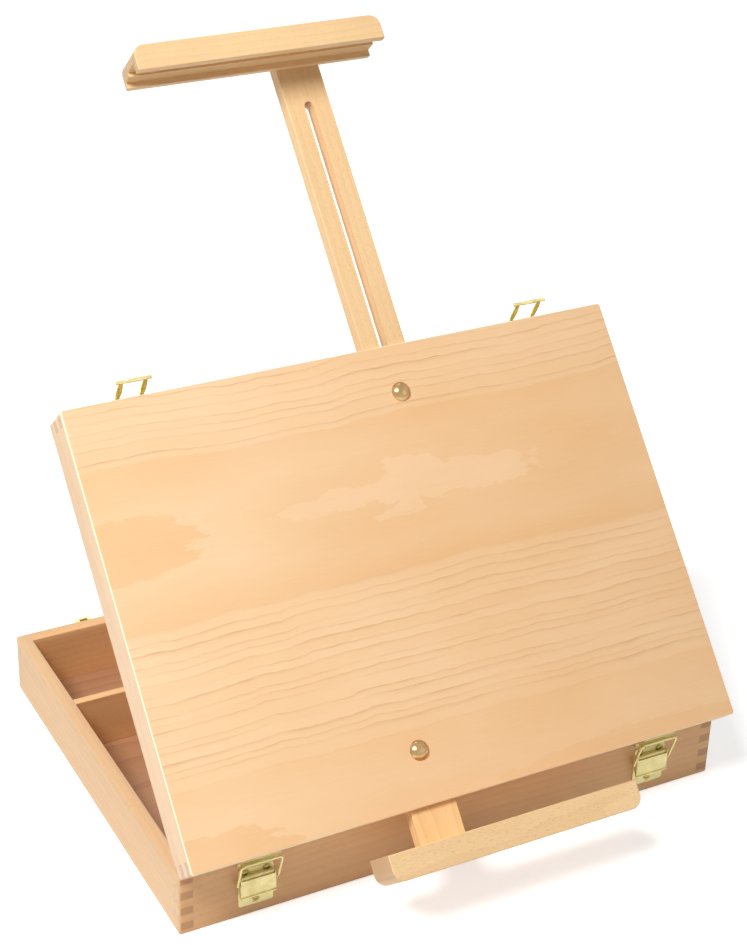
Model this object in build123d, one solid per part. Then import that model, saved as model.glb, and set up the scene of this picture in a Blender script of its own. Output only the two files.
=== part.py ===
from build123d import *
import os
from math import acos, atan2, cos, degrees, hypot, radians, sin

# Box easel: a shallow wooden paint box whose lid is a drawing board that tilts up on a folding stay.
# Millimetres. X runs to the right along the front, Y to the rear and Z up. The origin is the middle of
# the underside. Pieces of the base are drawn with y counted back from the front wall's outer face.
# Pieces of the lid are drawn in the lid's own frame: x across, y up the slope from the hinge line and
# z square to the rim, towards the drawing board.

# Box
width = 400.0
depth = 300.0
base_height = 43.0
lid_height = 30.0
wall = 9.5
corner_radius = 2.0
finger_width = 6.0
finger_start = 3.0
floor_thickness = 3.0
board_thickness = 4.0
divider_thickness = 6.0
divider_place = 204.0
divider_drop = 0.4
lid_angle = 47.2
rim_gap = 0.1

# Slats that carry the two canvas bars, and the bars
slat_width = 32.5
slat_thickness = 10.5
slat_gap = 0.2
slat_edge = 0.6
notch_gap = 0.4
slot_width = 6.5
slot_end = 11.0
mast_x = 31.5
mast_foot_gap = 2.5
mast_slot_end = 25.3
mast_bolt_inset = 23.5
slide_x = -32.2
slide_length = 92.5
slide_slot_start = 29.5
slide_bolt_place = 35.0
bar_length = 181.0
bar_depth = 33.0
bar_height = 17.8
bar_corner = 8.0
bar_edge = 0.8
bar_back_edge = 2.0
bar_lap_margin = 3.0
holder_x = -4.2
holder_reach = 206.1
ledge_x = 4.8
ledge_place = -22.5
lip_thickness = 5.5
groove_depth = 7.5
step_depth = 4.2
step_width = 9.2
foot_width = 4.0

# Clamp bolts with wing nuts
bolt_radius = 3.0
bolt_head_radius = 6.8
bolt_dome = 3.6
bolt_hole_gap = 0.2
bolt_end_margin = 3.0
washer_radius = 7.5
washer_thickness = 1.2
clamp_gap = 0.1
thread_gap = 0.05
nut_hub_radius = 5.0
nut_hub_height = 5.5
nut_wing_reach = 12.5
nut_wing_height = 9.5
nut_wing_thickness = 2.2

# Screws
small_shank = 0.9
small_length = 8.0
plate_shank = 1.1
plate_screw_length = 8.5
screw_dome = 0.8
bar_shank = 1.8
bar_screw_length = 20.0
bar_screw_place = 9.5
bar_screw_spread = 9.0
tip_length = 2.0
screw_gap = 0.05

# Butt hinges on the front rim, one behind each latch
hinge_length = 26.0
hinge_leaf_depth = 9.0
hinge_leaf_thickness = 1.0
hinge_leaf_gap = 0.1
hinge_end_knuckle = 7.0
hinge_knuckle_radius = 2.0
hinge_pin_radius = 0.8
hinge_screw_spread = 10.0
pin_gap = 0.05
side_gap = 0.3

# Draw-bail latches on the front
latch_inset = 52.0
latch_width = 25.0
latch_sheet = 1.0
latch_plate_low = 8.0
latch_plate_high = 38.0
latch_screw_low = 12.0
latch_screw_high = 34.6
latch_screw_spread = 7.5
lever_low = 19.0
lever_high = 33.2
lever_proud = 5.6
lever_lip = 1.2
lever_back = 1.6
lever_flange_low = 26.5
lever_foot_depth = 1.6
lever_inset = 0.1
lever_pin_out = 3.0
lever_pin_height = 32.3
lever_pin_radius = 0.8
ear_radius = 1.4
ear_thickness = 0.8
bail_out = 4.0
bail_height = 28.0
bail_wire_radius = 0.9
bail_length = 21.5
bail_tilt = 18.2
bail_bend = 3.0
bail_foot_bend = 1.0
foot_washer_radius = 1.7
foot_washer_thickness = 0.5
foot_washer_play = 0.1
keeper_high = 15.0
keeper_trough = 5.5
keeper_lip_high = 8.4
keeper_reach = 3.9
keeper_sheet = 0.8
keeper_screw_place = 12.0
keeper_screw_spread = 8.0

# Hasps at the rear
hasp_inset = 53.0
hasp_plate_width = 27.0
hasp_plate_low = 3.0
hasp_plate_high = 21.0
hasp_sheet = 1.0
hasp_pivot_out = 3.2
hasp_pivot_place = 8.0
hasp_pin_radius = 1.0
hasp_knuckle_radius = 2.2
hasp_opening = 13.0
hasp_arm_width = 3.7
hasp_arm_thickness = 1.8
hasp_reach = 22.3
hasp_bar_radius = 1.2
hasp_bar_length = 24.6
hasp_tilt = 19.6
hasp_screw_place = 16.5
hasp_screw_spread = 9.5
staple_low = 20.0
staple_high = 42.0
staple_screw_height = 35.0
staple_reach = 7.0
staple_loop_low = 31.0
staple_loop_high = 41.0
staple_slot = 5.8
staple_front = 2.0
staple_round = 1.8
staple_clearance = 0.6

# Folding stay inside the right-hand walls
stay_reach = 80.0
stay_drop = 12.0
link_length = 80.0
link_radius = 6.0
link_thickness = 1.6
stay_gap = 0.3
stay_plate_thickness = 1.2
stay_plate_length = 34.0
stay_plate_height = 15.0
stay_screw_spread = 12.0
rivet_radius = 2.5
rivet_head_radius = 4.0
rivet_head_height = 0.8
knee_head_radius = 5.0
knee_head_height = 1.2
knee_clearance = 0.3
knee_nut_scale = 0.75

# Places that follow from the sizes above
half_width = width / 2
inner_half = half_width - wall
latch_x = half_width - latch_inset
hasp_x = half_width - hasp_inset
board_back = lid_height - board_thickness
slat_front = board_back - slat_gap
slat_back = slat_front - slat_thickness
mast_length = depth - wall - mast_foot_gap
mast_bolt_place = depth - wall - mast_bolt_inset
holder_place = depth + holder_reach
base_place = Location((0, -depth / 2, 0))
lid_place = Location((0, -depth / 2, base_height), (lid_angle, 0, 0))
bottom_up = (Align.CENTER, Align.CENTER, Align.MIN)
pieces = {}


# Shared shapes

def block(x, y, z):
    # A block from its three (low, high) spans
    sizes = [high - low for low, high in (x, y, z)]
    middle = [(high + low) / 2 for low, high in (x, y, z)]
    return Pos(*middle) * Box(*sizes)


def around(centre, half):
    return (centre - half, centre + half)


def rod(start, end, radius):
    # A round bar between two points
    path = Vector(*end) - Vector(*start)
    return Plane(origin=start, z_dir=path) * Cylinder(radius, path.length, align=bottom_up)


def cross_rod(x, y, z, radius):
    # A round bar along X over a span x, at a place y, z
    return rod((x[0], y, z), (x[1], y, z), radius)


def side_profile(points, x):
    # A closed outline of (y, z) points, drawn out along X over a span x
    outline = Plane.YZ.offset(x[0]) * make_face(Polyline(*points, close=True))
    return extrude(outline, amount=x[1] - x[0], dir=(1, 0, 0))


def domed(radius, height):
    # A shallow round dome standing on z = 0
    ball = (radius**2 + height**2) / (2 * height)
    return Pos(0, 0, height - ball) * Sphere(ball) & Cylinder(radius, height, align=bottom_up)


def screw(shank, length, dome=0.0, gap=0.0):
    # Wood screw, point down, its head on z = 0: sunk flush, or domed above it. A gap makes its hole.
    radius = shank + gap
    deep = length + gap
    point = Pos(0, 0, -deep) * Cone(radius / 3, radius, tip_length, align=bottom_up)
    body = point + Pos(0, 0, tip_length - deep) * Cylinder(radius, deep - tip_length, align=bottom_up)
    if dome:
        head = domed(2 * shank, dome)
    else:
        head = Pos(0, 0, -shank) * Cone(radius, 2 * shank + gap, shank, align=bottom_up)
    if gap and not dome:
        return body + head
    if gap:
        return body
    slot = Pos(0, 0, dome) * Box(4 * shank, shank / 2, shank)
    return body + head - slot


def screw_hole(shank, length, dome=0.0):
    return screw(shank, length, dome, screw_gap)


def carriage_bolt(length):
    # Domed head standing on z = 0, shank down to -length
    shank = Pos(0, 0, -length) * Cylinder(bolt_radius, length, align=bottom_up)
    return domed(bolt_head_radius, bolt_dome) + shank


def wing_nut(bore, scale=1.0):
    # Its clamping face on z = 0, wings pointing down
    reach = nut_wing_reach * scale
    tall = nut_wing_height * scale
    hub_radius = nut_hub_radius * scale
    hub_height = nut_hub_height * scale
    outline = [
        (hub_radius * 0.7, -hub_height * 0.2),
        (hub_radius * 1.3, -hub_height * 0.35),
        (reach, -tall * 0.75),
        (reach * 0.92, -tall),
        (reach * 0.7, -tall * 0.97),
        (hub_radius * 0.7, -hub_height * 0.9),
    ]
    face = Plane.XZ * make_face(Polyline(*outline, close=True))
    wing = extrude(face, amount=nut_wing_thickness * scale / 2, both=True)
    wing = fillet(wing.edges().filter_by(Axis.Y).sort_by(Axis.X)[-3:], reach * 0.05)
    hub = Pos(0, 0, -hub_height) * Cone(hub_radius * 0.8, hub_radius, hub_height, align=bottom_up)
    hub_hole = Pos(0, 0, -hub_height) * Cylinder(bore, 2 * hub_height, align=bottom_up)
    return hub + wing + mirror(wing, Plane.YZ) - hub_hole


def group(shapes):
    return Compound(list(shapes))


def add(name, shape, place):
    pieces[name] = place * shape


# Walls, joined by fingers at the corners

def plan(low, high):
    # The box's rounded outline seen from above, between two heights
    return Pos(0, depth / 2, low) * extrude(RectangleRounded(width, depth, corner_radius), high - low)


def finger_spans(low, high):
    # Heights that the side walls' fingers take at each corner
    spans = []
    start = low + finger_start
    while start < high:
        spans.append((start, min(start + finger_width, high)))
        start += 2 * finger_width
    return spans


def carcass(low, high):
    # The four walls of one half of the box between two heights
    ends = {"front": (0, wall), "rear": (depth - wall, depth)}
    sides = {"left": (-half_width, -inner_half), "right": (inner_half, half_width)}
    fingers = {}
    for side, x in sides.items():
        fingers[side] = [block(x, y, z) for y in ends.values() for z in finger_spans(low, high)]
    walls = {}
    for end, y in ends.items():
        board = block((-half_width, half_width), y, (low, high))
        walls[end] = (board - fingers["left"] - fingers["right"]) & plan(low, high)
    for side, x in sides.items():
        board = block(x, (wall, depth - wall), (low, high))
        walls[side] = (board + fingers[side]) & plan(low, high)
    return walls


base_walls = carcass(0, base_height)
lid_walls = carcass(rim_gap, board_back)


# Base: floor and divider

inner = (-inner_half, inner_half)
add("base_floor", block(inner, (wall, depth - wall), (0, floor_thickness)), base_place)
divider_span = (divider_place, divider_place + divider_thickness)
add("divider", block(inner, divider_span, (floor_thickness, base_height - divider_drop)), base_place)


# Butt hinges: the pin lies on the hinge line, y = 0 at the height of the rims

def hinge_spans():
    # Knuckles along the pin: two for the base and one between them for the lid
    half = hinge_length / 2
    middle = half - hinge_end_knuckle
    return [(-half, -middle), (middle, half)], [(side_gap - middle, middle - side_gap)]


def hinge_leaf(side, spans):
    # Drawn about the pin's axis; side is -1 for the base's leaf, under the axis, and 1 for the lid's
    z = sorted((side * hinge_leaf_gap, side * (hinge_leaf_gap + hinge_leaf_thickness)))
    clear = hinge_knuckle_radius + side_gap
    leaf = block(around(0, hinge_length / 2), (clear, hinge_leaf_depth), z)
    for span in spans:
        leaf += block(span, (0, clear), z)
        leaf += cross_rod(span, 0, 0, hinge_knuckle_radius)
    leaf -= cross_rod(around(0, hinge_length), 0, 0, hinge_pin_radius + pin_gap)
    return leaf - hinge_screws(side, hole=True)


def hinge_screws(side, hole=False):
    y = (hinge_knuckle_radius + hinge_leaf_depth) / 2
    shape = screw_hole(small_shank, small_length) if hole else screw(small_shank, small_length)
    turn = 0 if side < 0 else 180
    spots = [(x, y, side * hinge_leaf_gap) for x in (-hinge_screw_spread, hinge_screw_spread)]
    return [Location(spot, (turn, 0, 0)) * shape for spot in spots]


def hinge_recess(side):
    # What a rim loses to a leaf, the knuckles and the screws
    z = sorted((0, side * (hinge_leaf_gap + hinge_leaf_thickness)))
    half = hinge_length / 2 + side_gap / 2
    seat = block(around(0, half), (-side_gap, hinge_leaf_depth), z)
    knuckle_room = cross_rod(around(0, half), 0, 0, hinge_knuckle_radius + side_gap)
    return [seat, knuckle_room] + hinge_screws(side, hole=True)


hinge_line = Pos(0, 0, base_height)
base_knuckles, lid_knuckles = hinge_spans()
hinge_places = [Pos(-latch_x, 0, 0), Pos(latch_x, 0, 0)]
hinge_pin = cross_rod(around(0, hinge_length / 2), 0, 0, hinge_pin_radius)
for place in hinge_places:
    base_walls["front"] -= [hinge_line * place * cut for cut in hinge_recess(-1)]
    lid_walls["front"] -= [place * cut for cut in hinge_recess(1)]
on_rim = base_place * hinge_line
add("hinge_base_leaves", group(place * hinge_leaf(-1, base_knuckles) for place in hinge_places), on_rim)
add("hinge_pins", group(place * hinge_pin for place in hinge_places), on_rim)
add("hinge_base_screws", group(place * s for place in hinge_places for s in hinge_screws(-1)), on_rim)
add("hinge_lid_leaves", group(place * hinge_leaf(1, lid_knuckles) for place in hinge_places), lid_place)
add("hinge_lid_screws", group(place * s for place in hinge_places for s in hinge_screws(1)), lid_place)


# Draw-bail latches: plate, lever, pin and wire bail on the base, keeper on the lid

latch_half = latch_width / 2
flange_outer = latch_half - lever_inset
flange_inner = flange_outer - latch_sheet
ear_outer = flange_inner - side_gap
ear_inner = ear_outer - ear_thickness
foot_washer_inner = flange_outer + foot_washer_play
foot_washer_outer = foot_washer_inner + foot_washer_thickness
bail_arm = foot_washer_outer + foot_washer_play + bail_foot_bend
facing_out = (90, 0, 0)


def outward(x, y, z):
    # A place on a face that looks towards -Y, where a screw's point goes in towards +Y
    return Location((x, y, z), facing_out)


def latch_plate():
    plate = block(around(0, latch_half), (-latch_sheet, 0), (latch_plate_low, latch_plate_high))
    for x in ((-ear_outer, -ear_inner), (ear_inner, ear_outer)):
        plate += block(x, (-lever_pin_out, -latch_sheet), around(lever_pin_height, ear_radius))
        plate += cross_rod(x, -lever_pin_out, lever_pin_height, ear_radius)
    plate -= cross_rod(around(0, latch_width), -lever_pin_out, lever_pin_height, lever_pin_radius + pin_gap)
    hole = screw_hole(plate_shank, plate_screw_length, screw_dome)
    return plate - [at * hole for at in latch_screw_places()]


def latch_screw_places():
    high = [outward(x, -latch_sheet, latch_screw_high) for x in (-latch_screw_spread, latch_screw_spread)]
    return high + [outward(0, -latch_sheet, latch_screw_low)]


def latch_lever():
    # A folded sheet: a face, two side flanges that taper to the handle end, and a small lip to pull
    outline = [
        (-lever_proud, lever_high),
        (-lever_back, lever_high),
        (-lever_back, lever_flange_low),
        (lever_foot_depth - lever_proud, lever_low),
        (-lever_proud, lever_low),
    ]
    lever = side_profile(outline, around(0, flange_outer))
    inside_y = (latch_sheet - lever_proud, 0)
    lever -= block(around(0, flange_inner), inside_y, (lever_low - latch_sheet, lever_high + latch_sheet))
    lip_y = (-lever_proud - lever_lip, latch_sheet - lever_proud)
    lever += block(around(0, flange_outer), lip_y, (lever_low - latch_sheet, lever_low))
    lever -= cross_rod(around(0, latch_width), -lever_pin_out, lever_pin_height, lever_pin_radius + pin_gap)
    return lever - cross_rod(around(0, latch_width), -bail_out, bail_height, bail_wire_radius + pin_gap)


def latch_bail():
    # Wire loop drawn upright from its pivot; its two ends turn in through the lever's flanges
    arm = bail_arm
    end = flange_inner + side_gap
    path = FilletPolyline(
        (-end, 0, 0),
        (-arm, 0, 0),
        (-arm, 0, bail_length),
        (arm, 0, bail_length),
        (arm, 0, 0),
        (end, 0, 0),
        radius=[bail_foot_bend, bail_bend, bail_bend, bail_foot_bend],
    )
    return sweep(Plane(origin=path @ 0, z_dir=path % 0) * Circle(bail_wire_radius), path)


def foot_washers():
    # A loose ring on each foot of the bail, between the lever's flange and the bail's arm
    spans = [(-foot_washer_outer, -foot_washer_inner), (foot_washer_inner, foot_washer_outer)]
    rings = [cross_rod(x, -bail_out, bail_height, foot_washer_radius) for x in spans]
    bore = cross_rod(around(0, bail_arm), -bail_out, bail_height, bail_wire_radius + pin_gap)
    return group(ring - bore for ring in rings)


def keeper():
    # Plate on the lid's lower wall with an upturned hook that the bail's bar drops into
    x = around(0, latch_half)
    low = keeper_trough - keeper_sheet
    plate = block(x, (-latch_sheet, 0), (low, keeper_high))
    plate += block(x, (-keeper_reach, 0), (low, keeper_trough))
    plate += block(x, (-keeper_reach, keeper_sheet - keeper_reach), (low, keeper_lip_high))
    return plate - [at * screw_hole(small_shank, small_length) for at in keeper_screw_places()]


def keeper_screw_places():
    return [outward(x, -latch_sheet, keeper_screw_place) for x in (-keeper_screw_spread, keeper_screw_spread)]


lever_pin = cross_rod(around(0, flange_outer), -lever_pin_out, lever_pin_height, lever_pin_radius)
bail_stance = Location((0, -bail_out, bail_height), (bail_tilt, 0, 0))
latch_sides = {"left": -latch_x, "right": latch_x}
plate_screws = []
keeper_screws = []
lever_pins = []
for side, x in latch_sides.items():
    at_x = Pos(x, 0, 0)
    add(f"latch_plate_{side}", at_x * latch_plate(), base_place)
    add(f"latch_lever_{side}", at_x * latch_lever(), base_place)
    add(f"latch_bail_{side}", at_x * bail_stance * latch_bail(), base_place)
    add(f"bail_washers_{side}", at_x * foot_washers(), base_place)
    add(f"latch_keeper_{side}", at_x * keeper(), lid_place)
    lever_pins.append(at_x * lever_pin)
    for at in latch_screw_places():
        plate_screws.append(at_x * at * screw(plate_shank, plate_screw_length, screw_dome))
        base_walls["front"] -= at_x * at * screw_hole(plate_shank, plate_screw_length, screw_dome)
    for at in keeper_screw_places():
        keeper_screws.append(at_x * at * screw(small_shank, small_length))
        lid_walls["front"] -= at_x * at * screw_hole(small_shank, small_length)
add("latch_lever_pins", group(lever_pins), base_place)
add("latch_plate_screws", group(plate_screws), base_place)
add("latch_keeper_screws", group(keeper_screws), lid_place)


# Hasps: a swinging loop on the lid's upper wall drops over a staple on the base's rear wall

hasp_half = hasp_plate_width / 2
loop_inner = hasp_opening / 2
loop_outer = loop_inner + hasp_arm_width
facing_rear = (-90, 0, 0)


def rearward(x, y, z):
    # A place on a face that looks towards +Y, where a screw's point goes in towards -Y
    return Location((x, y, z), facing_rear)


def hasp_plate():
    # Plate with one knuckle for the loop's pin, drawn from the wall's face at y = 0
    plate = block(around(0, hasp_half), (0, hasp_sheet), (hasp_plate_low, hasp_plate_high))
    knuckle = around(0, loop_inner - side_gap)
    plate += block(knuckle, (0, hasp_pivot_out), around(hasp_pivot_place, hasp_knuckle_radius))
    plate += cross_rod(knuckle, hasp_pivot_out, hasp_pivot_place, hasp_knuckle_radius)
    plate -= cross_rod(around(0, hasp_half), hasp_pivot_out, hasp_pivot_place, hasp_pin_radius + pin_gap)
    return plate - [at * screw_hole(small_shank, small_length) for at in hasp_screw_places()]


def hasp_screw_places():
    return [rearward(x, hasp_sheet, hasp_screw_place) for x in (-hasp_screw_spread, hasp_screw_spread)]


def hasp_loop():
    # Two eyes and arms with a round cross bar, drawn upright from its pivot
    loop = cross_rod(around(0, hasp_bar_length / 2), 0, hasp_reach, hasp_bar_radius)
    for x in ((-loop_outer, -loop_inner), (loop_inner, loop_outer)):
        loop += cross_rod(x, 0, 0, hasp_knuckle_radius)
        loop += block(x, around(0, hasp_arm_thickness / 2), (0, hasp_reach))
    return loop - cross_rod(around(0, hasp_half), 0, 0, hasp_pin_radius + pin_gap)


def staple_plate():
    # Plate with an open bridge that stands through the loop when the lid is shut
    bridge = loop_inner - staple_clearance
    z = (staple_loop_low, staple_loop_high)
    plate = block(around(0, hasp_half), (0, hasp_sheet), (staple_low, staple_high))
    plate += block(around(0, bridge), (0, staple_reach), z)
    plate -= block(around(0, staple_slot / 2), (hasp_sheet, staple_reach - staple_front), z)
    edges = plate.edges().filter_by(Axis.Z).group_by(Axis.Y)[-1]
    plate = fillet(edges, staple_round)
    return plate - [at * screw_hole(small_shank, small_length) for at in staple_screw_places()]


def staple_screw_places():
    return [rearward(x, hasp_sheet, staple_screw_height) for x in (-hasp_screw_spread, hasp_screw_spread)]


hasp_stance = Location((0, hasp_pivot_out, hasp_pivot_place), (-hasp_tilt, 0, 0))
hasp_pin = cross_rod(around(0, loop_outer + side_gap), hasp_pivot_out, hasp_pivot_place, hasp_pin_radius)
on_back = Pos(0, depth, 0)
hasp_pins = []
hasp_screws = []
staple_screws = []
for side, x in {"left": -hasp_x, "right": hasp_x}.items():
    at_x = on_back * Pos(x, 0, 0)
    add(f"hasp_plate_{side}", at_x * hasp_plate(), lid_place)
    add(f"hasp_loop_{side}", at_x * hasp_stance * hasp_loop(), lid_place)
    add(f"staple_plate_{side}", at_x * staple_plate(), base_place)
    hasp_pins.append(at_x * hasp_pin)
    for at in hasp_screw_places():
        hasp_screws.append(at_x * at * screw(small_shank, small_length))
        lid_walls["rear"] -= at_x * at * screw_hole(small_shank, small_length)
    for at in staple_screw_places():
        staple_screws.append(at_x * at * screw(small_shank, small_length))
        base_walls["rear"] -= at_x * at * screw_hole(small_shank, small_length)
add("hasp_pins", group(hasp_pins), lid_place)
add("hasp_screws", group(hasp_screws), lid_place)
add("staple_screws", group(staple_screws), base_place)


# Canvas holder on its mast, and canvas ledge on its short slide

slat_half = slat_width / 2
slat_span = (slat_back, slat_front)
notch_span = (slat_back - notch_gap, board_back)


def slat(low, high, slot_low, slot_high):
    # Slat along the slope with its long edges eased and a round-ended slot between two places
    bar = block(around(0, slat_half), (low, high), slat_span)
    bar = fillet(bar.edges().filter_by(Axis.Y), slat_edge)
    radius = slot_width / 2
    ends = (slot_low + radius, slot_high - radius)
    round_end = Cylinder(radius, slat_thickness, align=bottom_up)
    return bar - block(around(0, radius), ends, slat_span) - [Pos(0, y, slat_back) * round_end for y in ends]


def bar_outline(low, rounded_end):
    # A bar lies on its slat's front face. Its two corners away from the canvas are rounded, and so are
    # the edges of its back round the ends and along the side away from the canvas.
    outline = block(around(0, bar_length / 2), (low, low + bar_height), (slat_front, slat_front + bar_depth))
    corners = outline.edges().filter_by(Axis.Z).group_by(Axis.Y)[rounded_end]
    bar = fillet(corners, bar_corner)
    back_edges = bar.edges().group_by(Axis.Z)[0]
    return fillet(back_edges.filter_by(Axis.Y), bar_back_edge)


def canvas_holder():
    # A rear foot, a step, a groove for the canvas edge and a front lip, all along its underside
    low = holder_place
    back = slat_front
    front = slat_front + bar_depth
    top = low + bar_height
    outline = [
        (low, back),
        (low, back + foot_width),
        (low + step_depth, back + foot_width),
        (low + step_depth, back + foot_width + step_width),
        (low + groove_depth, back + foot_width + step_width),
        (low + groove_depth, front - lip_thickness),
        (low, front - lip_thickness),
        (low, front),
        (top, front),
        (top, back),
    ]
    bar = side_profile(outline, around(0, bar_length / 2)) & bar_outline(low, -1)
    long_edges = bar.edges().filter_by(Axis.X)
    front_edges = long_edges.group_by(Axis.Z)[-1]
    return fillet(front_edges, bar_edge)


def canvas_ledge():
    bar = bar_outline(ledge_place - bar_height, 0)
    front_edges = bar.edges().filter_by(Axis.X).group_by(Axis.Z)[-1]
    return fillet(front_edges, bar_edge)


def bar_screws(x, y, hole=False):
    # Two screws from the back of a slat's end into the bar that lies on its front
    shape = screw_hole(bar_shank, bar_screw_length) if hole else screw(bar_shank, bar_screw_length)
    spots = [(x + s, y, slat_back) for s in (-bar_screw_spread, bar_screw_spread)]
    return [Location(spot, (180, 0, 0)) * shape for spot in spots]


# Each slat's end runs behind its bar. The mast's slot starts below the holder and ends short of the
# mast's lower end, and the slide's starts a little inside the lid.
slat_lap = bar_height - bar_lap_margin
mast_low = holder_place - mast_length
mast = slat(mast_low, holder_place + slat_lap, mast_low + slot_end, holder_place - mast_slot_end)
slide_high = ledge_place + slide_length
slide = slat(ledge_place - slat_lap, slide_high, ledge_place + slide_slot_start, slide_high - slot_end)
holder_screws = (mast_x, holder_place + bar_screw_place)
ledge_screws = (slide_x, ledge_place - bar_screw_place)
holder_cuts = bar_screws(*holder_screws, hole=True)
ledge_cuts = bar_screws(*ledge_screws, hole=True)
add("mast", Pos(mast_x, 0, 0) * mast - holder_cuts, lid_place)
add("canvas_holder", Pos(holder_x, 0, 0) * canvas_holder() - holder_cuts, lid_place)
add("holder_screws", group(bar_screws(*holder_screws)), lid_place)
add("ledge_slide", Pos(slide_x, 0, 0) * slide - ledge_cuts, lid_place)
add("canvas_ledge", Pos(ledge_x, 0, 0) * canvas_ledge() - ledge_cuts, lid_place)
add("ledge_screws", group(bar_screws(*ledge_screws)), lid_place)

# Notches that let the slats through the lid's end walls
lid_walls["rear"] -= block(around(mast_x, slat_half + notch_gap), (0, 2 * depth), notch_span)
lid_walls["front"] -= block(around(slide_x, slat_half + notch_gap), (-wall, 2 * wall), notch_span)


# Clamp bolts through the board, each with a washer and a wing nut under its slat

washer_face = slat_back - clamp_gap
nut_face = washer_face - washer_thickness - clamp_gap
bolt_length = lid_height - bolt_end_margin
washer = Cylinder(washer_radius, washer_thickness, align=bottom_up)
washer -= Cylinder(bolt_radius + bolt_hole_gap, washer_thickness, align=bottom_up)
board = plan(board_back, lid_height)
bolt_hole = Cylinder(bolt_radius + bolt_hole_gap, board_thickness, align=bottom_up)
bolts = {"mast": (mast_x, mast_bolt_place), "ledge": (slide_x, slide_bolt_place)}
for name, (x, y) in bolts.items():
    at = Pos(x, y, 0)
    board -= at * Pos(0, 0, board_back) * bolt_hole
    add(f"{name}_bolt", at * Pos(0, 0, lid_height) * carriage_bolt(bolt_length), lid_place)
    add(f"{name}_washer", at * Pos(0, 0, washer_face - washer_thickness) * washer, lid_place)
    add(f"{name}_wing_nut", at * Pos(0, 0, nut_face) * wing_nut(bolt_radius + thread_gap), lid_place)
add("drawing_board", board, lid_place)


# Folding stay: two equal links between a base bracket and a lid bracket on the right-hand walls

tilt = radians(lid_angle)
base_pivot = (stay_reach, base_height - stay_drop)
lid_pivot = (
    stay_reach * cos(tilt) - stay_drop * sin(tilt),
    base_height + stay_reach * sin(tilt) + stay_drop * cos(tilt),
)
rise = (lid_pivot[0] - base_pivot[0], lid_pivot[1] - base_pivot[1])
knee_spread = acos(hypot(*rise) / 2 / link_length)
lower_lean = atan2(rise[1], rise[0]) - knee_spread
upper_lean = atan2(-rise[1], -rise[0]) + knee_spread - tilt
lower_outer = inner_half - stay_plate_thickness - stay_gap
upper_outer = lower_outer - link_thickness - stay_gap
upper_inner = upper_outer - link_thickness
knee = (base_pivot[0] + link_length * cos(lower_lean), base_pivot[1] + link_length * sin(lower_lean))


def link(outer, knee_hole):
    # A flat bar with round ends in the YZ plane, its pivot at the origin and its knee along +Y
    x = (outer - link_thickness, outer)
    bar = block(x, (0, link_length), around(0, link_radius))
    bar += cross_rod(x, 0, 0, link_radius) + cross_rod(x, link_length, 0, link_radius)
    bar -= cross_rod(x, 0, 0, rivet_radius + pin_gap)
    return bar - cross_rod(x, link_length, 0, knee_hole)


def stay_bracket(y, z):
    # Plate screwed to a wall's inner face, with the pivot stud's hole
    plate = block((inner_half - stay_plate_thickness, inner_half), around(y, stay_plate_length / 2),
                  around(z, stay_plate_height / 2))
    plate -= cross_rod((0, inner_half), y, z, rivet_radius + pin_gap)
    return plate - [at * screw_hole(small_shank, small_length) for at in stay_screw_places(y, z)]


def stay_screw_places(y, z):
    x = inner_half - stay_plate_thickness
    return [Location((x, y + s, z), (0, -90, 0)) for s in (-stay_screw_spread, stay_screw_spread)]


def stay_rivet(y, z, link_outer):
    # Stud from the bracket through its link, with a shoulder behind the link and a head before it
    face = inner_half - stay_plate_thickness
    head = link_outer - link_thickness - stay_gap
    rivet = cross_rod((head, inner_half), y, z, rivet_radius)
    rivet += cross_rod((head - rivet_head_height, head), y, z, rivet_head_radius)
    if face - link_outer > 2 * stay_gap:
        rivet += cross_rod((link_outer + stay_gap, face), y, z, rivet_head_radius)
    return rivet


lid_pivot_own = (stay_reach, stay_drop)
add("stay_base_bracket", stay_bracket(*base_pivot), base_place)
add("stay_base_rivet", stay_rivet(*base_pivot, lower_outer), base_place)
add("stay_lid_bracket", stay_bracket(*lid_pivot_own), lid_place)
add("stay_lid_rivet", stay_rivet(*lid_pivot_own, upper_outer), lid_place)
stay_screw = screw(small_shank, small_length)
add("stay_base_screws", group(at * stay_screw for at in stay_screw_places(*base_pivot)), base_place)
add("stay_lid_screws", group(at * stay_screw for at in stay_screw_places(*lid_pivot_own)), lid_place)
stay_hole = screw_hole(small_shank, small_length)
base_walls["right"] -= [at * stay_hole for at in stay_screw_places(*base_pivot)]
lid_walls["right"] -= [at * stay_hole for at in stay_screw_places(*lid_pivot_own)]
lower_stance = Location((0, *base_pivot), (degrees(lower_lean), 0, 0))
upper_stance = Location((0, *lid_pivot_own), (degrees(upper_lean), 0, 0))
add("stay_lower_link", lower_stance * link(lower_outer, rivet_radius + pin_gap), base_place)
add("stay_upper_link", upper_stance * link(upper_outer, rivet_radius + knee_clearance), lid_place)

# Knee bolt on the lower link, through the upper one, with a small wing nut on the inside
knee_nut_face = upper_inner - stay_gap
knee_end = knee_nut_face - nut_hub_height
knee_bolt = cross_rod((knee_end, lower_outer), *knee, rivet_radius)
knee_bolt += cross_rod((lower_outer, lower_outer + knee_head_height), *knee, knee_head_radius)
knee_nut = wing_nut(rivet_radius + thread_gap, knee_nut_scale)
add("stay_knee_bolt", knee_bolt, base_place)
add("stay_wing_nut", Location((knee_nut_face, *knee), (0, 90, 0)) * knee_nut, base_place)


# Walls last, with every hole, notch and recess cut

wall_names = {"front": "lower", "rear": "upper", "left": "left", "right": "right"}
for side, shape in base_walls.items():
    add(f"base_{side}_wall", shape, base_place)
for side, shape in lid_walls.items():
    add(f"lid_{wall_names[side]}_wall", shape, lid_place)

for name, shape in pieces.items():
    export_step(shape, f"parts/{name}.step")
print(len(pieces), "nodes")
print("stay: lower link leans", round(degrees(lower_lean), 2), "upper", round(degrees(upper_lean), 2))
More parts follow.
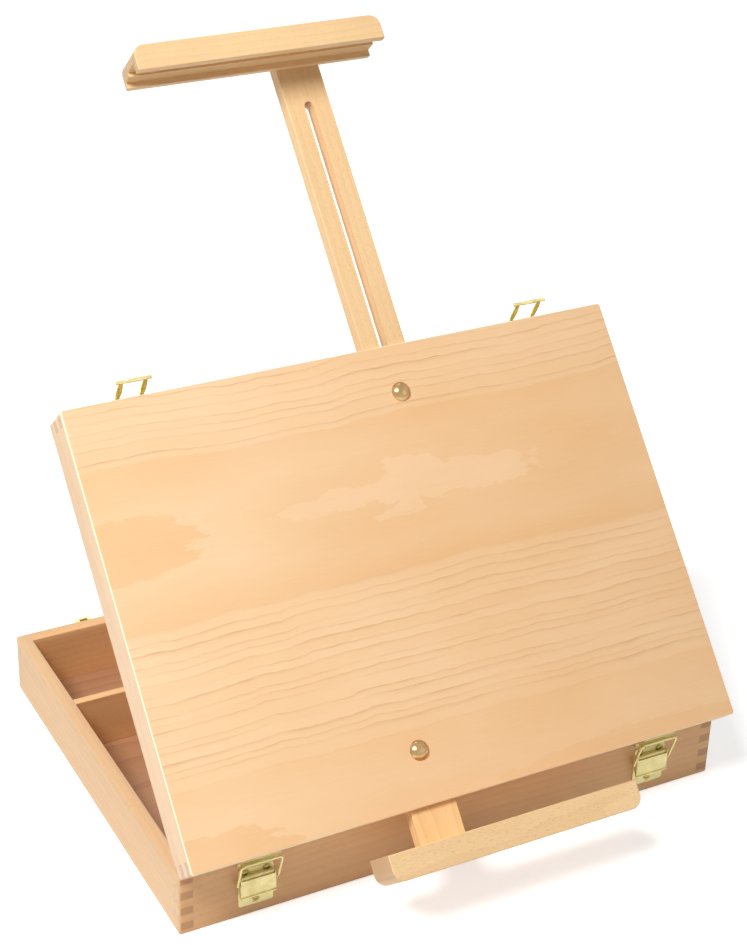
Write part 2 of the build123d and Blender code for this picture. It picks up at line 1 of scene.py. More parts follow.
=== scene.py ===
import math

import bmesh
import bpy
from mathutils import Matrix, Vector


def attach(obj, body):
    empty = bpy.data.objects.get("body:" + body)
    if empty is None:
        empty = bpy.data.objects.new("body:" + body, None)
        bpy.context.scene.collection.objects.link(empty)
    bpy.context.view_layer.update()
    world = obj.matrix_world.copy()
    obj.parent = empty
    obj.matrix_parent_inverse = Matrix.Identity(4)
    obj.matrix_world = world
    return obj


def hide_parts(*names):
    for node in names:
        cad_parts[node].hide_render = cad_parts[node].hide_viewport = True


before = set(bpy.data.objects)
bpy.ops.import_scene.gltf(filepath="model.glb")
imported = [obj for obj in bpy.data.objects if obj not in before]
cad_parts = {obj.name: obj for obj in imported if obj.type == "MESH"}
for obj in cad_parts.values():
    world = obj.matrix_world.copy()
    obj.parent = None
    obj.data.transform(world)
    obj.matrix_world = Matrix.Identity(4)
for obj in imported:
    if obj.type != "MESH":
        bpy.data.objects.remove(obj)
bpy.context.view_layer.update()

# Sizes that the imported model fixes, in metres and degrees
box = {
    "width": 0.400,
    "depth": 0.300,
    "baseHeight": 0.043,
    "lidHeight": 0.030,
    "wall": 0.0095,
    "board": 0.004,
    "cornerRadius": 0.002,
    "fingerWidth": 0.006,
    "fingerStart": 0.003,       # the lowest finger's height over the foot
    "rimGap": 0.0001,           # between the rims of the base and the lid
    "lidAngle": 47.2,
}
halfWidth = box["width"] / 2
innerHalf = halfWidth - box["wall"]
boardBack = box["lidHeight"] - box["board"]
lidTurn = math.radians(box["lidAngle"])

near = 1e-5                     # points closer than this count as one
square = 0.9                    # a direction with this share along an axis counts as running along it
sharp = math.radians(40)        # edges that bend more than this are eased
clear = 0.001                   # how far a cutter stands out of what it cuts
roundSides = 32                 # flats round a rod or a bore

# Base pieces are drawn with y back from the front wall, lid pieces with y up the slope from the hinge line
baseFrame = Matrix.Translation((0, -box["depth"] / 2, 0))
lidFrame = Matrix.Translation((0, -box["depth"] / 2, box["baseHeight"])) @ Matrix.Rotation(lidTurn, 4, "X")


# Modelling helpers

def clearSelection():
    if bpy.context.object and bpy.context.object.mode != "OBJECT":
        bpy.ops.object.mode_set(mode="OBJECT")
    bpy.ops.object.select_all(action="DESELECT")


def makeActive(piece):
    clearSelection()
    piece.select_set(True)
    bpy.context.view_layer.objects.active = piece


def startBlock(name, low, high):
    # A cube primitive stretched between two corners
    clearSelection()
    middle = [(a + b) / 2 for a, b in zip(low, high)]
    bpy.ops.mesh.primitive_cube_add(size=1, location=middle)
    piece = bpy.context.object
    piece.name = name
    piece.scale = [b - a for a, b in zip(low, high)]
    bpy.ops.object.transform_apply(location=True, rotation=True, scale=True)
    return piece


def crossRod(name, xSpan, y, z, radius):
    # A cylinder primitive that lies along x
    clearSelection()
    bpy.ops.mesh.primitive_cylinder_add(vertices=roundSides, radius=radius, depth=xSpan[1] - xSpan[0],
                                        location=(sum(xSpan) / 2, y, z), rotation=(0, math.pi / 2, 0))
    rod = bpy.context.object
    rod.name = name
    bpy.ops.object.transform_apply(location=True, rotation=True, scale=True)
    return rod


def editing(piece):
    makeActive(piece)
    bpy.ops.object.mode_set(mode="EDIT")
    bpy.ops.mesh.select_all(action="DESELECT")
    return bmesh.from_edit_mesh(piece.data)


def pick(piece, kind, wanted):
    # Selects the vertices, edges or faces that a test accepts, and leaves edit mode on
    mesh = editing(piece)
    bpy.ops.mesh.select_mode(type=kind)
    found = 0
    for part in {"VERT": mesh.verts, "EDGE": mesh.edges, "FACE": mesh.faces}[kind]:
        if wanted(part):
            part.select_set(True)
            found += 1
    bmesh.update_edit_mesh(piece.data)
    return found


def moveVerts(piece, wanted, move):
    if pick(piece, "VERT", wanted):
        bpy.ops.transform.translate(value=move)
    bpy.ops.object.mode_set(mode="OBJECT")


def bevelEdges(piece, wanted, width, segments=2):
    if pick(piece, "EDGE", wanted):
        bpy.ops.mesh.bevel(offset=width, segments=segments, affect="EDGES", profile=0.5)
    bpy.ops.object.mode_set(mode="OBJECT")


def extrudeFaces(piece, wanted, move):
    if pick(piece, "FACE", wanted):
        bpy.ops.mesh.extrude_region_move(TRANSFORM_OT_translate={"value": move})
    bpy.ops.object.mode_set(mode="OBJECT")


def bisectAt(piece, height):
    # Splits a piece level across
    editing(piece)
    bpy.ops.mesh.select_all(action="SELECT")
    bpy.ops.mesh.bisect(plane_co=(0, 0, height), plane_no=(0, 0, 1))
    bpy.ops.object.mode_set(mode="OBJECT")


def cutWith(piece, cutter):
    # Takes one shape out of another, then deletes the cutter
    makeActive(piece)
    cut = piece.modifiers.new("cut", "BOOLEAN")
    cut.operation = "DIFFERENCE"
    cut.solver = "EXACT"
    cut.object = cutter
    bpy.ops.object.modifier_apply(modifier=cut.name)
    bpy.data.objects.remove(cutter)


def addEase(piece, width):
    # Rounds every sharp edge a little
    ease = piece.modifiers.new("ease", "BEVEL")
    ease.width = width
    ease.segments = 2
    ease.limit_method = "ANGLE"
    ease.angle_limit = sharp
    return ease


def easeAll(piece, width):
    makeActive(piece)
    bpy.ops.object.modifier_apply(modifier=addEase(piece, width).name)


def joinAll(pieces):
    # The first piece takes the others in
    clearSelection()
    for piece in pieces:
        piece.select_set(True)
    bpy.context.view_layer.objects.active = pieces[0]
    bpy.ops.object.join()
    return pieces[0]


def copyOf(piece, name):
    twin = piece.copy()
    twin.data = piece.data.copy()
    twin.name = name
    bpy.context.collection.objects.link(twin)
    return twin


def runsAlong(edge, axis):
    run = (edge.verts[1].co - edge.verts[0].co).normalized()
    return abs(run[axis]) > square


def settle(piece, place, body, material, node, smooth=35):
    # Puts a finished piece where it belongs, with its place in its mesh, and gives it its finish
    makeActive(piece)
    piece.matrix_world = place @ piece.matrix_world
    bpy.ops.object.transform_apply(location=True, rotation=True, scale=True)
    bpy.ops.object.shade_smooth_by_angle(angle=math.radians(smooth))
    piece.data.materials.clear()
    piece.data.materials.append(material)
    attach(piece, body)
    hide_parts(node)


# Material helpers

def shade(red, green, blue):
    # A colour given as it looks on a screen, 0 to 255
    def linear(value):
        value /= 255
        return value / 12.92 if value <= 0.04045 else ((value + 0.055) / 1.055) ** 2.4
    return (linear(red), linear(green), linear(blue), 1.0)


def darker(colour, share):
    return tuple(part * share for part in colour[:3]) + (1.0,)


class Nodes:
    def __init__(self, name):
        self.material = bpy.data.materials.new(name)
        self.material.use_nodes = True
        self.tree = self.material.node_tree
        self.shader = self.tree.nodes["Principled BSDF"]

    def add(self, kind, inputs=None, **settings):
        node = self.tree.nodes.new("ShaderNode" + kind)
        for key, value in settings.items():
            setattr(node, key, value)
        for key, value in (inputs or {}).items():
            self.feed(node.inputs[key], value)
        return node

    def feed(self, socket, value):
        if isinstance(value, bpy.types.NodeSocket):
            self.tree.links.new(value, socket)
        else:
            socket.default_value = value

    def calc(self, operation, first, second=0.0, clamp=False):
        node = self.add("Math", operation=operation, use_clamp=clamp)
        self.feed(node.inputs[0], first)
        self.feed(node.inputs[1], second)
        return node.outputs[0]

    def chain(self, operation, *values, clamp=False):
        # One operation down a row of values, clamped at its end
        result = values[0]
        for count, value in enumerate(values[1:], 2):
            result = self.calc(operation, result, value, clamp and count == len(values))
        return result

    def blend(self, factor, first, second):
        node = self.add("Mix", data_type="RGBA", blend_type="MIX")
        for socket, value in zip((node.inputs[0], node.inputs[6], node.inputs[7]), (factor, first, second)):
            self.feed(socket, value)
        return node.outputs[2]

    def noise(self, vector, scale, detail=2.0, rough=0.5):
        # Noise with a scale for each of three axes, and then a shift where there is one
        stretched = self.add("Mapping", {"Vector": vector, "Scale": scale[:3], "Location": scale[3:] or (0, 0, 0)})
        node = self.add("TexNoise", {"Vector": stretched.outputs[0], "Scale": 1.0, "Detail": detail,
                                     "Roughness": rough})
        return node.outputs["Fac"]

    def grain(self, vector, along, across, detail, rough=0.5, shift=(0, 0, 0)):
        return self.noise(vector, (along, across, across, *shift), detail, rough)

    def fit(self, value, low, high, newLow, newHigh):
        node = self.add("MapRange", {"Value": value, "From Min": low, "From Max": high,
                                     "To Min": newLow, "To Max": newHigh})
        return node.outputs[0]

    def ringShade(self, count):
        # Each whole count draws its own chance value
        node = self.add("TexWhiteNoise", {"W": self.calc("FLOOR", count)}, noise_dimensions="1D")
        return node.outputs["Value"]

    def finish(self, colour, roughness, relief, strength, depth):
        # Feeds the shader, with a fine relief as bump
        bump = self.add("Bump", {"Height": relief, "Strength": strength, "Distance": depth})
        self.feed(self.shader.inputs["Base Color"], colour)
        self.feed(self.shader.inputs["Roughness"], roughness)
        self.feed(self.shader.inputs["Normal"], bump.outputs[0])
        return self.material


def grainFrame(nodes, onLid, along, shift):
    # Object coordinates turned so that the grain runs along X, and the surface's direction turned with them
    turn = (-lidTurn if onLid else 0.0, 0.0, 0.0 if along == "x" else -math.pi / 2)
    source = nodes.add("TexCoord")
    place = nodes.add("Mapping", {"Vector": source.outputs["Object"], "Rotation": turn, "Location": shift})
    facing = nodes.add("Mapping", {"Vector": source.outputs["Normal"], "Rotation": turn}, vector_type="NORMAL")
    return place.outputs[0], facing.outputs[0]


# A pattern is its scale along the grain and across it, its detail, its roughness and its shift.
# A tone says which values of a pattern it runs between, and what they become
beech = {
    "ringGap": 0.0042,              # width of one year's growth
    "ringWobble": 0.0016,
    "ringBend": 0.012,              # how far the rings wander along the grain
    "ringEdge": 2.2,                # a higher power draws a ring's colour to its edge
    "ringDepth": 0.16,              # how dark the rings are
    "ringChange": 0.4,              # how much rings differ, as a share of their depth
    "patchTone": (0.35, 0.70, -0.05, 0.26),
    "fibreTone": (0.30, 0.70, -0.05, 0.08),
    "rayRange": (0.60, 0.70),
    "fleckDepth": 0.16,
    "fleckShade": 0.72,
    "poreTone": (0.35, 0.65, 0.0, 0.4),
    "poreShade": 0.8,
    "endRings": 0.35,
    "endFacing": (0.75, 0.90, 0.0, 1.0),
    "roughness": (0.30, 0.70, 0.45, 0.60),
    "relief": (0.12, 0.0003),       # strength and depth
    "bendPattern": (5, 16, 2.0),
    "wobblePattern": (22, 130, 3.0),
    "patchPattern": (6, 24, 3.0, 0.5, (3.1, 1.7, 0.4)),
    "fibrePattern": (60, 1500, 2.0, 0.6),
    "rayPattern": (330, 2100, 1.0, 0.5, (7.7, 0.2, 5.1)),
    "porePattern": (200, 2600, 2.0),
}


def beechMaterial(name, light, dark, endGrain, pith, onLid=False, along="x", ringDepth=None, fleck=None):
    nodes = Nodes(name)
    place, facing = grainFrame(nodes, onLid, along, pith)
    # Growth rings are shells round the pith, bent a little along the grain
    split = nodes.add("SeparateXYZ", {0: place})
    radius = nodes.calc("SQRT", nodes.calc("ADD", nodes.calc("POWER", split.outputs[1], 2.0),
                                           nodes.calc("POWER", split.outputs[2], 2.0)))
    radius = nodes.chain("ADD", radius,
                         nodes.calc("MULTIPLY", nodes.grain(place, *beech["bendPattern"]), beech["ringBend"]),
                         nodes.calc("MULTIPLY", nodes.grain(place, *beech["wobblePattern"]), beech["ringWobble"]))
    count = nodes.calc("DIVIDE", radius, beech["ringGap"])
    ring = nodes.calc("POWER", nodes.calc("FRACT", count), beech["ringEdge"])
    # Broad patches, fine fibres and the short rays that beech is known by
    depth = beech["ringDepth"] if ringDepth is None else ringDepth
    patch = nodes.grain(place, *beech["patchPattern"])
    fibre = nodes.grain(place, *beech["fibrePattern"])
    tone = nodes.chain("ADD", nodes.calc("MULTIPLY", ring, depth),
                       nodes.calc("MULTIPLY", nodes.ringShade(count), depth * beech["ringChange"]),
                       nodes.fit(patch, *beech["patchTone"]), nodes.fit(fibre, *beech["fibreTone"]), clamp=True)
    colour = nodes.blend(tone, light, dark)
    rays = nodes.grain(place, *beech["rayPattern"])
    rays = nodes.fit(rays, *beech["rayRange"], 0.0, beech["fleckDepth"] if fleck is None else fleck)
    colour = nodes.blend(rays, colour, darker(dark, beech["fleckShade"]))
    # End grain is darker and finely pored
    pores = nodes.fit(nodes.grain(place, *beech["porePattern"]), *beech["poreTone"])
    endTone = nodes.blend(pores, endGrain, darker(endGrain, beech["poreShade"]))
    endTone = nodes.blend(nodes.calc("MULTIPLY", ring, beech["endRings"]), endTone, dark)
    ends = nodes.calc("ABSOLUTE", nodes.add("SeparateXYZ", {0: facing}).outputs[0])
    colour = nodes.blend(nodes.fit(ends, *beech["endFacing"]), colour, endTone)
    return nodes.finish(colour, nodes.fit(fibre, *beech["roughness"]), nodes.calc("ADD", fibre, rays),
                        *beech["relief"])


# Heights run up the slope from the hinge line. A tongue is its middle, its height, its reach and rise,
# how soft its edge is and how strongly it shows. A pattern here is its scale and its shift
veneer = {
    "light": shade(248, 211, 168),
    "dark": shade(236, 184, 126),
    "line": shade(206, 150, 98),
    "ply": shade(236, 200, 156),
    "plyDark": shade(196, 148, 102),
    "lip": shade(255, 242, 210),
    "upperEdge": 0.255,             # the calm middle of the figure lies between two heights
    "upperFade": 0.042,
    "lowerEdge": 0.150,
    "lowerFade": 0.036,
    "footEdge": 0.050,
    "footFade": 0.030,
    "footDepth": 0.6,
    "edgeSoft": 0.0012,
    "darkTongues": ((0.050, 0.205, 0.150, 0.043, 0.80, 0.75), (-0.205, 0.203, 0.068, 0.0215, 0.08, 1.0),
                    (-0.205, 0.004, 0.072, 0.015, 0.08, 1.0), (0.130, 0.000, 0.110, 0.012, 0.08, 0.5)),
    "paleTongues": ((-0.015, 0.2045, 0.062, 0.0075, 0.08, 1.0), (0.055, 0.2035, 0.062, 0.0105, 0.08, 1.0),
                    (0.024, 0.2145, 0.020, 0.011, 0.08, 1.0), (0.012, 0.1935, 0.014, 0.008, 0.08, 1.0)),
    "tongueShape": 2.6,
    "tongueRest": 0.12,             # what a pale tongue leaves of the dark under it
    "lineGap": 0.0062,              # between two growth lines
    "lineEdge": 5.0,
    "lineUneven": (95, 1.6),        # scale and size of the changes in their gaps
    "breakPattern": (11, 3.7, 0),
    "breakTone": (0.34, 0.66, 0.10, 0.80),
    "featherPattern": (48, 1300, 0, 5.5, 8.1, 0),
    "featherTone": (0.36, 0.62, 0.35, 1.1),
    "calmTone": (0.0, 1.0, 0.05, 1.0),
    "ringDepth": 0.16,
    "calmDepth": 0.42,
    "paintedFalloffSlope": -0.7,             # painted shade: the board darkens to the right and downwards, as the key lamp's light falls off
    "paintedFalloffTone": (-0.34, 0.13, 0.05, 0.36),
    "patchPattern": (8, 14, 0, 9.1, 3.3, 0),
    "patchTone": (0.30, 0.70, -0.08, 0.22),
    "fibrePattern": (42, 1250, 0),
    "fibreTone": (0.30, 0.70, -0.05, 0.09),
    "plyGap": 0.0027,
    "plyTone": (0.45, 0.55, 0.0, 1.0),
    "strandPattern": (500, 500, 2500),
    "lipTone": (0.0016, 0.0021, 1.0, 0.0),
    "edgeFacing": (0.80, 0.97, 1.0, 0.0),
    "roughness": (0.30, 0.70, 0.35, 0.47),
    "relief": (0.05, 0.0003),
    # Each sway: scale along the grain and across it, shift along and across, detail and size
    "swells": ((7, 5, 1.3, 4.2, 2.0, 0.016), (30, 18, 6.3, 0.2, 2.0, 0.0046), (110, 70, 2.1, 7.2, 3.0, 0.0015)),
    "feathers": (70, 1100, 4.4, 2.9, 2.0, 0.0042),
    "rags": (52, 60, 3.3, 1.2, 5.0, 0.014),
    "tears": (40, 120, 8.2, 5.1, 3.0, 0.075),
}


def veneerMaterial():
    # Flat-cut veneer: a calm middle with pale and dark tongues, and fine growth lines above and below it
    nodes = Nodes("boardVeneer")
    hingeLine = Vector((0, -box["depth"] / 2, box["baseHeight"]))
    hingeLine.rotate(Matrix.Rotation(-lidTurn, 3, "X"))
    place, facing = grainFrame(nodes, True, "x", -hingeLine)
    x, v, w = nodes.add("SeparateXYZ", {0: place}).outputs

    def sway(along, across, shiftX, shiftY, detail, size):
        field = nodes.noise(place, (along, across, 0, shiftX, shiftY, 0), detail)
        return nodes.calc("MULTIPLY", nodes.calc("SUBTRACT", field, 0.5), size)

    height = nodes.chain("ADD", v, *(sway(*swell) for swell in veneer["swells"]))
    # Where a figure ends, the fibres stand out like feathers
    feathered = nodes.calc("ADD", height, sway(*veneer["feathers"]))
    ragged = nodes.calc("ADD", feathered, sway(*veneer["rags"]))
    torn = nodes.calc("ADD", x, sway(*veneer["tears"]))

    def above(edge):
        return nodes.fit(feathered, edge - veneer["edgeSoft"], edge + veneer["edgeSoft"], 0.0, 1.0)

    def below(edge):
        return nodes.fit(feathered, edge - veneer["edgeSoft"], edge + veneer["edgeSoft"], 1.0, 0.0)

    def tongues(rows):
        # 1 inside patches with torn ends and ragged edges
        shown = []
        for middle, middleHeight, reach, rise, soft, strength in rows:
            across = nodes.calc("DIVIDE", nodes.calc("SUBTRACT", torn, middle), reach)
            up = nodes.calc("DIVIDE", nodes.calc("SUBTRACT", ragged, middleHeight), rise)
            far = nodes.calc("ADD", nodes.calc("POWER", nodes.calc("ABSOLUTE", across), veneer["tongueShape"]),
                             nodes.calc("POWER", nodes.calc("ABSOLUTE", up), veneer["tongueShape"]))
            shown.append(nodes.calc("MULTIPLY", nodes.fit(far, 1.0 - soft, 1.0 + soft, 1.0, 0.0), strength))
        return nodes.chain("MAXIMUM", *shown)

    upper, lower, foot = veneer["upperEdge"], veneer["lowerEdge"], veneer["footEdge"]
    lined = nodes.calc("MAXIMUM", above(upper), nodes.calc("MULTIPLY", below(lower), above(foot)))
    unevenScale, unevenSize = veneer["lineUneven"]
    uneven = nodes.noise(nodes.add("CombineXYZ", {1: height}).outputs[0], (0, unevenScale, 0), 1.0)
    count = nodes.calc("ADD", nodes.calc("DIVIDE", height, veneer["lineGap"]),
                       nodes.calc("MULTIPLY", uneven, unevenSize))
    lineOwn = nodes.add("CombineXYZ", {0: x, 1: nodes.calc("FLOOR", count)}).outputs[0]
    breaks = nodes.noise(lineOwn, veneer["breakPattern"])
    feather = nodes.noise(place, veneer["featherPattern"], 3.0)
    line = nodes.chain("MULTIPLY", nodes.calc("POWER", nodes.calc("FRACT", count), veneer["lineEdge"]),
                       nodes.fit(breaks, *veneer["breakTone"]), nodes.fit(lined, *veneer["calmTone"]),
                       nodes.fit(feather, *veneer["featherTone"]))
    # The calm parts darken towards their edges and stop there
    upperDark = nodes.calc("MULTIPLY", nodes.fit(height, upper - veneer["upperFade"], upper, 0.0, 1.0), below(upper))
    lowerDark = nodes.calc("MULTIPLY", nodes.fit(height, lower, lower + veneer["lowerFade"], 1.0, 0.0), above(lower))
    footDark = nodes.calc("MULTIPLY", nodes.fit(height, foot - veneer["footFade"], foot, 0.0, veneer["footDepth"]),
                          below(foot))
    calm = nodes.chain("MAXIMUM", upperDark, lowerDark, footDark, tongues(veneer["darkTongues"]))
    calm = nodes.calc("MULTIPLY", calm, nodes.fit(tongues(veneer["paleTongues"]), 0.0, 1.0, 1.0,
                                                  veneer["tongueRest"]))
    # Painted shade: the board darkens to the right and downwards, standing in for the key lamp's falloff
    paintedFalloff = nodes.calc("ADD", x, nodes.calc("MULTIPLY", v, veneer["paintedFalloffSlope"]))
    patch = nodes.noise(place, veneer["patchPattern"], 3.0)
    fibre = nodes.noise(place, veneer["fibrePattern"], 2.0, 0.6)
    rings = nodes.calc("MULTIPLY", nodes.calc("MULTIPLY", nodes.ringShade(count), lined), veneer["ringDepth"])
    tone = nodes.chain("ADD", nodes.calc("MULTIPLY", calm, veneer["calmDepth"]), rings,
                       nodes.fit(paintedFalloff, *veneer["paintedFalloffTone"]), nodes.fit(patch, *veneer["patchTone"]),
                       nodes.fit(fibre, *veneer["fibreTone"]), clamp=True)
    colour = nodes.blend(tone, veneer["light"], veneer["dark"])
    colour = nodes.blend(line, colour, veneer["line"])
    # The board's edges show its plies, under a pale eased lip
    depthIn = nodes.calc("SUBTRACT", box["lidHeight"], w)
    plies = nodes.calc("FRACT", nodes.calc("DIVIDE", depthIn, veneer["plyGap"]))
    strands = nodes.noise(place, veneer["strandPattern"])
    plyColour = nodes.blend(nodes.fit(plies, *veneer["plyTone"]), veneer["ply"],
                            nodes.blend(strands, veneer["ply"], veneer["plyDark"]))
    plyColour = nodes.blend(nodes.fit(depthIn, *veneer["lipTone"]), plyColour, veneer["lip"])
    flat = nodes.calc("ABSOLUTE", nodes.add("SeparateXYZ", {0: facing}).outputs[2])
    colour = nodes.blend(nodes.fit(flat, *veneer["edgeFacing"]), colour, plyColour)
    return nodes.finish(colour, nodes.fit(fibre, *veneer["roughness"]), nodes.calc("SUBTRACT", fibre, line),
                        *veneer["relief"])


brass = {
    "cloudPattern": (160, 160, 4.0, 0.6),
    "cloudTone": (0.35, 0.70, 0.0, 0.55),
    "speckPattern": (1400, 1400, 2.0),
    "speckTone": (0.62, 0.72, 0.0, 0.4),
    "smoothRange": (0.30, 0.70),
    "smoother": 0.06,               # how far the polish changes either way
    "rougher": 0.10,
    "rolledPattern": (900, 6000, 2.0),
    "rolledDepth": 0.00006,
}


def brassMaterial(name, colour, worn, roughness, metallic, brush=0.25):
    # Plated brass: fine rolled lines, cloudy tarnish and rubbed spots
    nodes = Nodes(name)
    place = nodes.add("TexCoord").outputs["Object"]
    cloud = nodes.grain(place, *brass["cloudPattern"])
    specks = nodes.grain(place, *brass["speckPattern"])
    rolled = nodes.grain(place, *brass["rolledPattern"])
    tone = nodes.calc("ADD", nodes.fit(cloud, *brass["cloudTone"]), nodes.fit(specks, *brass["speckTone"]),
                      clamp=True)
    polish = nodes.fit(cloud, *brass["smoothRange"], roughness - brass["smoother"], roughness + brass["rougher"])
    nodes.shader.inputs["Metallic"].default_value = metallic
    return nodes.finish(nodes.blend(tone, colour, worn), polish, rolled, brush, brass["rolledDepth"])


# Camera, lamps and floor

view = {"spot": (-0.6014, -1.1281, 0.9242), "turn": -28.359, "height": 29.203, "roll": 1.9726, "lens": 83.28,
        "sensor": 36, "clipStart": 0.05}


def makeCamera():
    turn, height, roll = (math.radians(view[key]) for key in ("turn", "height", "roll"))
    back = Vector((math.sin(turn) * math.cos(height), -math.cos(turn) * math.cos(height), math.sin(height)))
    right = (-back).cross(Vector((0, 0, 1))).normalized()
    up = right.cross(-back)
    right, up = right * math.cos(roll) + up * math.sin(roll), up * math.cos(roll) - right * math.sin(roll)
    clearSelection()
    bpy.ops.object.camera_add()
    camera = bpy.context.object
    camera.name = "studioCamera"
    camera.data.lens = view["lens"]
    camera.data.sensor_width = view["sensor"]
    camera.data.clip_start = view["clipStart"]
    turned = Matrix((right, up, back)).transposed().to_4x4()
    camera.matrix_world = Matrix.Translation(view["spot"]) @ turned
    bpy.context.scene.camera = camera


lamps = {
    "key": {"spot": (-1.6, -0.65, 2.7), "size": 1.3, "power": 97},
    "fill": {"spot": (1.6, -2.4, 1.5), "size": 2.2, "power": 4},
    "back": {"spot": (0.4, 2.0, 2.2), "size": 1.8, "power": 8},
}
lampTarget = (0, 0, 0.12)


def makeLamps():
    for name, lamp in lamps.items():
        clearSelection()
        bpy.ops.object.light_add(type="AREA", location=lamp["spot"])
        light = bpy.context.object
        light.name = name + "Lamp"
        light.data.shape = "DISK"
        light.data.size = lamp["size"]
        light.data.energy = lamp["power"]
        aim = Vector(lampTarget) - Vector(lamp["spot"])
        light.rotation_euler = aim.to_track_quat("-Z", "Y").to_euler()


def seenDirectly(tree):
    # 1 for rays from the camera or through a mirror or glass, 0 for light that falls on the object
    path = tree.nodes.new("ShaderNodeLightPath")
    seen = path.outputs["Is Camera Ray"]
    for ray in ("Is Glossy Ray", "Is Transmission Ray"):
        either = tree.nodes.new("ShaderNodeMath")
        either.operation = "MAXIMUM"
        tree.links.new(seen, either.inputs[0])
        tree.links.new(path.outputs[ray], either.inputs[1])
        seen = either.outputs[0]
    return seen


sky = {"strength": 0.18, "seen": 1.0}


def makeSky():
    world = bpy.data.worlds.new("studioWorld")
    bpy.context.scene.world = world
    world.use_nodes = True
    tree = world.node_tree
    background = tree.nodes["Background"]
    background.inputs["Color"].default_value = (1, 1, 1, 1)
    strength = tree.nodes.new("ShaderNodeMapRange")
    strength.inputs["To Min"].default_value = sky["strength"]
    strength.inputs["To Max"].default_value = sky["seen"]
    tree.links.new(seenDirectly(tree), strength.inputs["Value"])
    tree.links.new(strength.outputs[0], background.inputs["Strength"])


# The floor is pale, and glows up to white only where it is seen directly or in metal
floorLook = {"size": 14.0, "drop": 0.0003, "pale": 0.80, "mottle": 0.99, "patches": (3.0, 3.0, 3.0),
             "lift": 0.62, "roughness": 0.9, "shine": 0.1}


def makeFloor():
    clearSelection()
    bpy.ops.mesh.primitive_plane_add(size=floorLook["size"], location=(0, 0, -floorLook["drop"]))
    floor = bpy.context.object
    floor.name = "studioFloor"
    nodes = Nodes("paleFloor")
    tree = nodes.tree
    pale = (floorLook["pale"],) * 3 + (1,)
    grain = nodes.noise(nodes.add("TexCoord").outputs["Object"], floorLook["patches"])
    nodes.feed(nodes.shader.inputs["Base Color"], nodes.blend(grain, pale, darker(pale, floorLook["mottle"])))
    nodes.shader.inputs["Roughness"].default_value = floorLook["roughness"]
    nodes.shader.inputs["Specular IOR Level"].default_value = floorLook["shine"]
    lift = nodes.add("Emission", {"Color": (1, 1, 1, 1),
                                  "Strength": nodes.calc("MULTIPLY", seenDirectly(tree), floorLook["lift"])})
    both = nodes.add("AddShader", {0: nodes.shader.outputs[0], 1: lift.outputs[0]})
    tree.links.new(both.outputs[0], tree.nodes["Material Output"].inputs["Surface"])
    floor.data.materials.append(nodes.material)


bpy.context.scene.view_settings.view_transform = "Standard"
makeCamera()
makeLamps()
makeSky()
makeFloor()
print("stage: camera, lamps and floor are set")


# Finishes, where pith is the shift that sets how a board was cut from its tree

boxLight, boxDark, boxEnd = shade(236, 188, 134), shade(202, 144, 96), shade(206, 152, 106)
paleLight, paleDark = shade(226, 188, 143), shade(200, 154, 108)
easelLight, easelDark, easelEnd = shade(243, 206, 154), shade(218, 168, 115), shade(206, 170, 130)
finishes = {
    "frontWall": beechMaterial("frontWallBeech", boxLight, boxDark, shade(226, 186, 150), pith=(0.3, 0.19, 0.02)),
    "rearWall": beechMaterial("rearWallBeech", boxLight, boxDark, shade(226, 186, 150), pith=(0.9, -0.12, -0.05)),
    "sideWall": beechMaterial("sideWallBeech", paleLight, paleDark, boxEnd, along="y", pith=(0.2, -0.14, -0.075)),
    "lidEndWall": beechMaterial("lidEndBeech", boxLight, boxDark, shade(218, 184, 152), onLid=True,
                                pith=(0.5, 0.04, -0.12)),
    "lidSideWall": beechMaterial("lidSideBeech", shade(240, 206, 167), paleDark, boxEnd, onLid=True, along="y",
                                 pith=(0.7, -0.16, -0.09)),
    # The floor ply's darker tone is partly its own darker plywood and partly painted shade for the shaded inside of
    # the box
    "floor": beechMaterial("floorPly", shade(180, 132, 96), shade(150, 106, 74), boxEnd, pith=(0.1, 0.02, -0.3),
                           ringDepth=0.5),
    "divider": beechMaterial("dividerWood", boxLight, boxDark, boxEnd, pith=(1.4, -0.3, -0.06)),
    "mast": beechMaterial("mastBeech", easelLight, easelDark, easelEnd, onLid=True, along="y",
                          pith=(0.2, -0.09, -0.02), fleck=0.3),
    "holder": beechMaterial("holderBeech", easelLight, easelDark, easelEnd, onLid=True, pith=(0.4, -0.22, -0.33)),
    "slide": beechMaterial("slideBeech", shade(252, 211, 154), shade(216, 166, 110), easelEnd, onLid=True,
                           along="y", pith=(0.8, 0.01, -0.05), ringDepth=0.3),
    "ledge": beechMaterial("ledgeBeech", easelLight, easelDark, easelEnd, onLid=True, pith=(0.6, 0.11, 0.03),
                           fleck=0.5),
    "board": veneerMaterial(),
    "sheetBrass": brassMaterial("sheetBrass", shade(232, 219, 160), shade(204, 188, 120), 0.42, 0.55),
    # The plates and keepers take a paler, less metallic copy of the sheet brass: painted sheen for the lamp's
    # reflection on them
    "plateBrassPaintedSheen": brassMaterial("plateBrassPaintedSheen", shade(242, 232, 172), shade(218, 204, 132), 0.45, 0.4),
    "goldBrass": brassMaterial("goldBrass", shade(242, 230, 166), shade(176, 156, 80), 0.26, 0.85),
    "polishedBrass": brassMaterial("polishedBrass", shade(200, 166, 118), shade(150, 114, 72), 0.14, 1.0, 0.05),
    "screwBrass": brassMaterial("screwBrass", shade(176, 158, 88), shade(104, 88, 40), 0.3, 0.9),
}
print("finishes are made:", len(finishes))


# Walls with finger joints

wallLook = {"rimEase": 0.0005, "footEase": 0.0006, "cornerSteps": 5}


def fingerSpans(low, high):
    # Heights that the side walls' fingers take at each corner
    spans = []
    start = low + box["fingerStart"]
    while start < high:
        spans.append((start, min(start + box["fingerWidth"], high)))
        start += 2 * box["fingerWidth"]
    return spans


